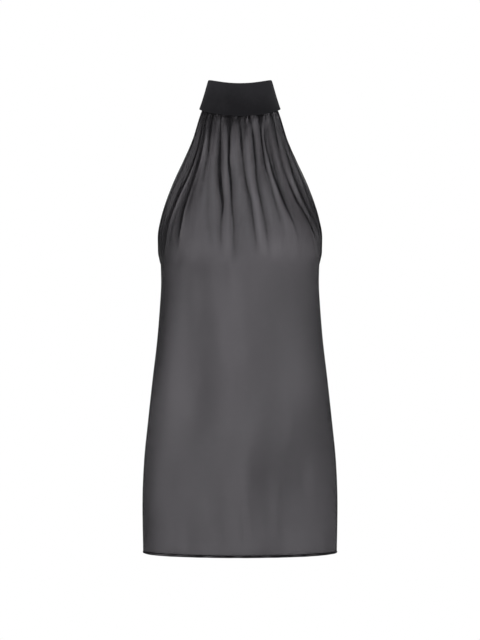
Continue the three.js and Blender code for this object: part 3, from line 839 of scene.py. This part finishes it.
def make_panel(name, form, folds, waves, stretches, tucks, material):
    """One panel as a thin shell, with its cloth's own coordinates and fullness."""
    points, length, fullness = panel_cloth(form, folds, waves, stretches, tucks, PANEL_LEVELS)
    rows, columns = points.shape[:2]
    faces = grid_faces(rows, columns)
    if form is FRONT_FORM:
        faces = [face[::-1] for face in faces]
    piece = new_piece(name, points.reshape(-1, 3), faces, material)
    mesh = piece.data
    store = mesh.attributes.new("fullness", "FLOAT", "POINT")
    store.data.foreach_set("value", np.broadcast_to(fullness, (rows, columns)).ravel())
    down = np.broadcast_to(-PANEL_LEVELS[:, None], (rows, columns))
    cloth = np.stack([length, down], axis=-1).reshape(-1, 2) * MM
    corner = np.empty(len(mesh.loops), int)
    mesh.loops.foreach_get("vertex_index", corner)
    mesh.uv_layers.new(name="cloth").data.foreach_set("uv", cloth[corner].ravel())
    shell = piece.modifiers.new("two faces", "SOLIDIFY")
    shell.thickness = CLOTH_THICKNESS * MM
    shell.offset = 0
    area = sum(face.area for face in mesh.polygons)
    print(name, rows, "rows,", columns, "columns,", round(area, 4), "square metres")
    return piece


# %% [markdown]
# ## The sheer cloth's finish
#
# Chiffon is mostly air. One layer lets about a third of the light through, and what it
# holds back is near-black yarn. Looked at aslant there is more yarn in the way, as with
# tinted glass, so the share that passes is a power of the share seen square on. The fullness
# raises that power further. Transparent and a cloth shader are mixed by what is left.
# An alpha picture would lose the darker rounded sides that sheer cloth has.

# %% Mix the sheer cloth
FACE_PASSES = 0.55
EDGE_ON_GAIN = 0.45
YARN_TONES = ((0.0095, 0.0090, 0.0100, 1), (0.0155, 0.0148, 0.0162, 1))
YARN_TONE_ENDS = (0.3, 0.7)
YARN_ROUGHNESS = 0.7
YARN_SHINE = 0.03
PASSED_TINT = (0.994, 0.984, 1.0, 1)
STREAKS_A_METRE = (90, 9, 1)
BROAD_STREAKS_A_METRE = (34, 5, 1)
STREAK_BASE = 0.78
STREAK_GAIN = 0.22
GRAINS_A_METRE = 1400.0
GRAIN_STRENGTH = 0.25
GRAIN_DEPTH = 0.0002
NOISE_MEAN = 0.5
PUCKERS_A_METRE = (330, 70, 1)
PUCKERS_END = 36
PUCKER_BAREST = -0.4
PUCKER_FULLEST = 0.5
PUCKER_DEPTH = 3.0

sheer, tree, yarn, out = cloth_material("sheer_chiffon", YARN_ROUGHNESS, YARN_SHINE)
cloth_uv = add_node(tree, "ShaderNodeUVMap", uv_map="cloth").outputs[0]
fine_streaks = noise(tree, cloth_uv, STREAKS_A_METRE, detail=4.0)
blend_tones(tree, yarn, fine_streaks, YARN_TONE_ENDS, YARN_TONES)
grain = noise(tree, cloth_uv, GRAINS_A_METRE, detail=2.0)
add_relief(tree, yarn, grain, GRAIN_STRENGTH, GRAIN_DEPTH)

facing = add_node(tree, "ShaderNodeLayerWeight", {"Blend": 0.5}).outputs["Facing"]
openness = math_node(tree, "SUBTRACT", 1.0, math_node(tree, "MULTIPLY", facing, EDGE_ON_GAIN))
fullness_node = add_node(tree, "ShaderNodeAttribute", attribute_name="fullness").outputs["Fac"]
broad_streaks = noise(tree, cloth_uv, BROAD_STREAKS_A_METRE, detail=2.0)
both_streaks = math_node(tree, "ADD", fine_streaks, broad_streaks)
streak = math_node(tree, "MULTIPLY", both_streaks, STREAK_GAIN)
streak = math_node(tree, "ADD", streak, STREAK_BASE)
below_seam = add_node(tree, "ShaderNodeSeparateXYZ", {"Vector": cloth_uv}).outputs["Y"]
seam_share = {"Value": below_seam, 1: 0.0, 2: PUCKERS_END * MM, 3: PUCKER_DEPTH, 4: 0.0}
seam_share = add_node(tree, "ShaderNodeMapRange", seam_share, interpolation_type="SMOOTHSTEP")
puckers = noise(tree, cloth_uv, PUCKERS_A_METRE, detail=3.0)
puckers = math_node(tree, "SUBTRACT", puckers, NOISE_MEAN)
gathered = math_node(tree, "MULTIPLY", puckers, seam_share.outputs[0])
gathered = math_node(tree, "MAXIMUM", gathered, PUCKER_BAREST)
gathered = math_node(tree, "MINIMUM", gathered, PUCKER_FULLEST)
thread = math_node(tree, "ADD", math_node(tree, "MULTIPLY", fullness_node, streak), gathered)
yarn_in_way = math_node(tree, "DIVIDE", thread, openness)
passed = math_node(tree, "POWER", FACE_PASSES, yarn_in_way)
clear = add_node(tree, "ShaderNodeBsdfTransparent", {"Color": PASSED_TINT})
mixed = add_node(tree, "ShaderNodeMixShader", {0: passed, 1: yarn.outputs[0], 2: clear.outputs[0]})
tree.links.new(mixed.outputs[0], out.inputs["Surface"])
print("one layer square on passes", round(FACE_PASSES**2, 2))

# %% Sew the two panels
front_cloth = make_panel(
    "front_panel_cloth", FRONT_FORM, FRONT_FOLDS, FRONT_WAVES, FRONT_STRETCHES_AND_PAINTED_LIGHT, FRONT_TUCKS, sheer
)
back_cloth = make_panel(
    "back_panel_cloth", BACK_FORM, BACK_FOLDS, BACK_WAVES, BACK_STRETCHES, BACK_TUCKS, sheer
)
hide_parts("front_panel")
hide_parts("back_panel")

# %% [markdown]
# ## The folded collar
#
# The collar is one band of dense crepe, doubled, sewn to the gathers, stood up round the
# neck and folded down over its own seam. Its section is a closed loop: up the inside of the
# stand, over the fold, down the outside of the fall, up its inside and down the outside of the
# stand. Each point of the loop is a ring with its own half sizes and dips at front and back.
# A revolved profile would be too regular, so the rings also waver a little.

# %% Turn the collar
CollarRing = namedtuple("CollarRing", "half_x half_y side front back")
COLLAR_RINGS = table(CollarRing, [
    (60.1, 61.0, -2.9, 15.4, 3.4),
    (55.7, 56.8, 20, 12, 2),
    (52.0, 53.1, 37.6, 9.4, 1),
    (52.2, 53.3, 40.7, 9.2, 1),
    (53.4, 54.5, 42.0, 9.0, 1),
    (54.7, 55.8, 40.6, 9.2, 1),
    (61.2, 62.4, 17, 13, 2),
    (68.4, 69.9, -5.0, 16.5, 3),
    (69.3, 70.8, -6.6, 16.6, 3),
    (68.6, 70.1, -7.3, 16.7, 3),
    (67.3, 68.8, -6.2, 16.6, 3),
    (59.7, 60.9, 16.6, 13, 2),
    (54.2, 55.3, 35.6, 9.6, 1),
    (57.3, 58.4, 20.2, 12, 2),
    (61.2, 62.1, -2.7, 15.4, 3.4),
])
COLLAR_SEGMENTS = 168
COLLAR_DIP_SHAPE = 1.4
COLLAR_DIP_RISE = 0.015
COLLAR_ROUNDING = 3
COLLAR_WAVER = 0.35
WAVER_TOP = 20
WAVER_FADE = 40
RingWave = namedtuple("RingWave", "count phase share")
COLLAR_WAVES = table(RingWave, [(3, 0.6, 1), (7, 2.0, 0.6)])


def rounded_loop(rows, times):
    """A closed loop of rows with its corners cut off again and again."""
    for _ in range(times):
        after = np.roll(rows, -1, axis=0)
        rows = np.stack([rows * 0.75 + after * 0.25, rows * 0.25 + after * 0.75], axis=1)
        rows = rows.reshape(-1, rows.shape[-1])
    return rows


def collar_points():
    """All points of the collar, ring by ring round the neck."""
    loop = rounded_loop(np.array(COLLAR_RINGS), COLLAR_ROUNDING)
    half_x, half_y, side, front, back = loop.T[:, None, :]
    turn = np.linspace(0, math.tau, COLLAR_SEGMENTS, endpoint=False)[:, None]
    dip_shape = COLLAR_DIP_SHAPE + COLLAR_DIP_RISE * side
    to_front = np.maximum(np.cos(turn), 0) ** dip_shape
    to_back = np.maximum(-np.cos(turn), 0) ** dip_shape
    waver = sum(wave.share * np.sin(wave.count * turn + wave.phase) for wave in COLLAR_WAVES)
    waver = COLLAR_WAVER * waver * smooth((WAVER_TOP - side) / WAVER_FADE)
    x = (half_x + waver) * np.sin(turn)
    y = -(half_y + waver) * np.cos(turn)
    z = side - front * to_front - back * to_back
    return np.stack(np.broadcast_arrays(x, y, z), axis=-1)


collar_mesh_points = collar_points()
print("collar:", collar_mesh_points.shape[0], "rings of", collar_mesh_points.shape[1], "points")

# %% [markdown]
# ## The dense crepe's finish
#
# The collar's crepe is matt and nearly black, with a fine pebbled face. Its grain is about a
# millimetre, so it comes from nodes: a fine noise for the pebbles, a broad faint one for the
# unevenness of the dye. Modelled grain would cost very many faces and look the same. The fold
# at the top catches more light than the fall's lower edge, so light is painted in: the colour
# gets lighter with height, painted shade low on the fall and painted light at the fold.

# %% Mix the crepe
CREPE_TONES = ((0.0094, 0.0091, 0.0104, 1), (0.0182, 0.0178, 0.0200, 1))
CREPE_TONE_ENDS = (0.35, 0.65)
CREPE_SHINE = 0.04
CREPE_RELIEF = 0.4
DYE_PATCHES_A_METRE = 22.0
LOW_SHADE = -0.16
HIGH_SHADE = 0.14
COLLAR_SHADING = (-22, 34)


def crepe_material(name, tones, roughness=0.82, pebble=900.0, depth=0.0003, shading=None):
    """An opaque, pebbled, near-black cloth, with painted light making it lighter towards the second shading
    level.
    """
    material, nodes, shader, _ = cloth_material(name, roughness, CREPE_SHINE)
    place = add_node(nodes, "ShaderNodeTexCoord").outputs["Object"]
    dye = noise(nodes, place, DYE_PATCHES_A_METRE, detail=3.0)
    grain = noise(nodes, place, pebble, detail=2.0)
    shade = math_node(nodes, "MULTIPLY", math_node(nodes, "ADD", dye, grain), 0.5)
    # Painted light and shade: the colour is darker at the low height and lighter at the high one.
    if shading:
        height = add_node(nodes, "ShaderNodeSeparateXYZ", {"Vector": place}).outputs["Z"]
        low, high = shading
        ends = {"Value": height, 1: low * MM, 2: high * MM, 3: LOW_SHADE, 4: HIGH_SHADE}
        painted_light_by_height = add_node(nodes, "ShaderNodeMapRange", ends).outputs[0]
        shade = math_node(nodes, "ADD", shade, painted_light_by_height)
    blend_tones(nodes, shader, shade, CREPE_TONE_ENDS, tones)
    add_relief(nodes, shader, grain, CREPE_RELIEF, depth)
    return material


crepe_cloth = crepe_material("dense_crepe", CREPE_TONES, shading=COLLAR_SHADING)
collar_faces = grid_faces(*collar_mesh_points.shape[:2], around=True, looped=True)
collar_mesh_points = collar_mesh_points.reshape(-1, 3)
collar = new_piece("collar_band", collar_mesh_points, collar_faces, crepe_cloth)
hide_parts("collar")
print("collar faces:", len(collar_faces))

# %% [markdown]
# ## Bound armholes and rolled hem
#
# A raw chiffon edge frays, so each armhole is turned over twice and the hem is rolled. Both
# are narrow tubes of so many layers that they are opaque, and they draw the thin dark outline.
# A tube swept along the panel's own edge gives them, slightly flattened and a little uneven.

# %% Sweep the edges
EDGE_WIDTH = 2.3
EDGE_THICKNESS = 1.6
EDGE_OVERHANG = 1.0
ROUND_BOTTOM = 22
HEM_WIDTH = 2.2
HEM_THICKNESS = 1.5
ARMHOLE_TOP = -2.5
ARMHOLE_ROWS = 84
ROUND_BOTTOM_ROWS = 26
ROUND_BOTTOM_GAP = 2
TUBE_SIDES = 10
TUBE_WAVER = 0.05
TUBE_WAVES = ((7.3, 0), (4.1, 1.7))


def swept_tube(path, across_way, through_way, width, thickness):
    """Points and faces of a closed flattened tube along a path."""
    turn = np.linspace(0, math.tau, TUBE_SIDES, endpoint=False)
    run = np.cumsum(np.linalg.norm(np.gradient(path, axis=0), axis=1))
    uneven = sum(np.sin(run / bend + phase) for bend, phase in TUBE_WAVES)
    size = 1 + TUBE_WAVER * uneven[:, None, None]
    sideways = across_way[:, None, :] * (np.cos(turn) * width / 2)[None, :, None]
    outwards = through_way[:, None, :] * (np.sin(turn) * thickness / 2)[None, :, None]
    faces = grid_faces(len(path), TUBE_SIDES, around=True)
    faces.append(tuple(range(TUBE_SIDES))[::-1])
    faces.append(tuple((len(path) - 1) * TUBE_SIDES + k for k in range(TUBE_SIDES)))
    return (path[:, None, :] + (sideways + outwards) * size).reshape(-1, 3), faces


def edge_frame(form, side, level):
    """Points and outward normals along a panel's side edge."""
    across = np.full_like(level, side)
    return on_form(form, across, level), outward(form, across, level)


def armhole_path(side):
    """The armhole from the collar's front, under the arm, to the collar's back."""
    down = np.linspace(0, math.pi / 2, ROUND_BOTTOM_ROWS)
    last = UNDERARM_LEVEL + ROUND_BOTTOM * (1 - np.sin(down))
    first = np.linspace(ARMHOLE_TOP, last[0] + ROUND_BOTTOM_GAP, ARMHOLE_ROWS)
    level = np.concatenate([first, last])
    front_points, front_normals = edge_frame(FRONT_FORM, side, level)
    back_points, back_normals = edge_frame(BACK_FORM, side, level)
    points = np.vstack([front_points, back_points[-2::-1]])
    normals = np.vstack([front_normals, back_normals[-2::-1]])
    along = unit(np.gradient(points, axis=0))
    away = unit(np.cross(normals, along)) * side
    return points, away, unit(np.cross(away, along))


SEAM_TONES = ((0.0085, 0.0082, 0.0088, 1), (0.0130, 0.0125, 0.0135, 1))
sheer_double = crepe_material("seam_layers", SEAM_TONES)
EDGE_TONES = ((0.0060, 0.0058, 0.0062, 1), (0.0100, 0.0097, 0.0104, 1))
FINE_FINISH = {"roughness": 0.8, "pebble": 1500.0, "depth": 0.0002}
edge_cloth = crepe_material("turned_edge", EDGE_TONES, **FINE_FINISH)
stitch_lines = {}
for side, name in ((-1, "left_armhole"), (1, "right_armhole")):
    points, away, through = armhole_path(side)
    centre = points + away * (EDGE_WIDTH / 2 - EDGE_OVERHANG / 2)
    tube, tube_faces = swept_tube(centre, away, through, EDGE_WIDTH, EDGE_THICKNESS)
    edge_piece = new_piece(name + "_edge", tube, tube_faces, edge_cloth)
    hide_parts(name + "_binding")
    stitch_lines[name + "_stitches"] = (centre + through * EDGE_THICKNESS / 2, through)
    print(name, "edge runs", round(np.linalg.norm(np.diff(points, axis=0), axis=1).sum()), "mm")

# %% Roll the hem
HEM_TONES = ((0.0078, 0.0075, 0.0083, 1), (0.0140, 0.0136, 0.0149, 1))
HEM_REACH = 0.997
HEM_COLUMNS = 150
HEM_PARTS = (
    (FRONT_FORM, "front_hem", FRONT_WAVES),
    (BACK_FORM, "back_hem", BACK_WAVES),
)
hem_cloth = crepe_material("rolled_hem", HEM_TONES, **FINE_FINISH)
for form, name, waves in HEM_PARTS:
    across = np.linspace(-HEM_REACH, HEM_REACH, HEM_COLUMNS)
    level = np.full_like(across, HEM_LEVEL + HEM_WIDTH / 2)
    out_way = outward(form, across, level)
    height = wave_height(waves, across, level) * smooth((1 - np.abs(across)) / EDGE_HOLD)
    path = on_form(form, across, level) + out_way * height[:, None]
    along = unit(np.gradient(path, axis=0))
    down = unit(np.cross(along, out_way))
    tube, tube_faces = swept_tube(path, down, out_way, HEM_WIDTH, HEM_THICKNESS)
    new_piece(name, tube, tube_faces, hem_cloth)
    stitch_lines[name + "_stitches"] = (path + out_way * HEM_THICKNESS / 2, out_way)
    print(name, round(np.linalg.norm(np.diff(path, axis=0), axis=1).sum()), "mm long")

# %% [markdown]
# ## Side seams
#
# A sheer cloth's side seam is sewn twice, so that its raw edges end up inside a narrow flat
# ridge. It lies within the top along each side edge, from the underarm down to the hem.

# %% Sew the side seams
SEAM_WIDTH = 5.0
SEAM_THICKNESS = 1.1
SEAM_INSET = 1.3
SEAM_TOP = UNDERARM_LEVEL - 1
SEAM_FOOT = HEM_LEVEL + 1.5
SEAM_ROWS = 120
for side, name in ((-1, "left_side_seam"), (1, "right_side_seam")):
    level = np.linspace(SEAM_TOP, SEAM_FOOT, SEAM_ROWS)
    edge, _ = edge_frame(FRONT_FORM, side, level)
    inwards = np.broadcast_to((-side, 0.0, 0.0), edge.shape)
    depthwise = np.broadcast_to((0.0, 1.0, 0.0), edge.shape)
    path = edge + inwards * SEAM_INSET + depthwise * SEAM_WIDTH / 2
    tube, tube_faces = swept_tube(path, depthwise, inwards, SEAM_WIDTH, SEAM_THICKNESS)
    new_piece(name, tube, tube_faces, sheer_double)
    stitch_lines[name + "_stitches"] = (path + inwards * SEAM_THICKNESS / 2, inwards)
    print(name, round(level[0] - level[-1]), "mm long")

# %% [markdown]
# ## Stitches
#
# A machine stitch shows as a short raised bead with a dimple at each end. Rows of them hold
# the turned armholes, the rolled hem and the side seams. Each stitch is a small eight-sided
# bead, and a row of them is one joined mesh that follows the edge it is sewn on.

# %% Sew the stitches
STITCH_LENGTH = 1.8
STITCH_PITCH = 2.4
STITCH_WIDTH = 0.42
BEAD_FACES = (
    (0, 1, 2), (0, 2, 3), (0, 3, 4), (0, 4, 1),
    (5, 2, 1), (5, 3, 2), (5, 4, 3), (5, 1, 4),
)
THREAD_TONES = ((0.0120, 0.0116, 0.0126, 1), (0.0210, 0.0204, 0.0220, 1))
THREAD_FINISH = {"roughness": 0.55, "pebble": 2600.0, "depth": 0.0001}
thread_cloth = crepe_material("sewing_thread", THREAD_TONES, **THREAD_FINISH)


def along_path(values, run, where):
    """Values given at the points of a path, at any distance along it."""
    return np.stack([np.interp(where, run, values[:, k]) for k in range(3)], axis=1)


def stitch_row(name, path, facing):
    """A row of stitches on a line, each a bead whose top faces the given way."""
    steps = np.linalg.norm(np.diff(path, axis=0), axis=1)
    run = np.concatenate([[0], np.cumsum(steps)])
    start = np.arange(STITCH_PITCH, run[-1] - STITCH_PITCH, STITCH_PITCH)
    head = along_path(path, run, start)
    tail = along_path(path, run, start + STITCH_LENGTH)
    up = unit(along_path(facing, run, start + STITCH_LENGTH / 2)) * STITCH_WIDTH / 2
    side = unit(np.cross(up, tail - head)) * STITCH_WIDTH / 2
    middle = (head + tail) / 2
    corners = [head, middle + side, middle + up, middle - side, middle - up, tail]
    points = np.stack(corners, axis=1).reshape(-1, 3)
    firsts = range(0, len(points), len(corners))
    faces = [tuple(first + k for k in face) for first in firsts for face in BEAD_FACES]
    new_piece(name, points, faces, thread_cloth)
    print(name, len(start), "stitches")


for name, (path, facing) in stitch_lines.items():
    stitch_row(name, path, facing)

# %% [markdown]
#
# Each panel was a flat piece before it was gathered and hung.

# %% The two sheets
print("two sheets: the front and back panels")
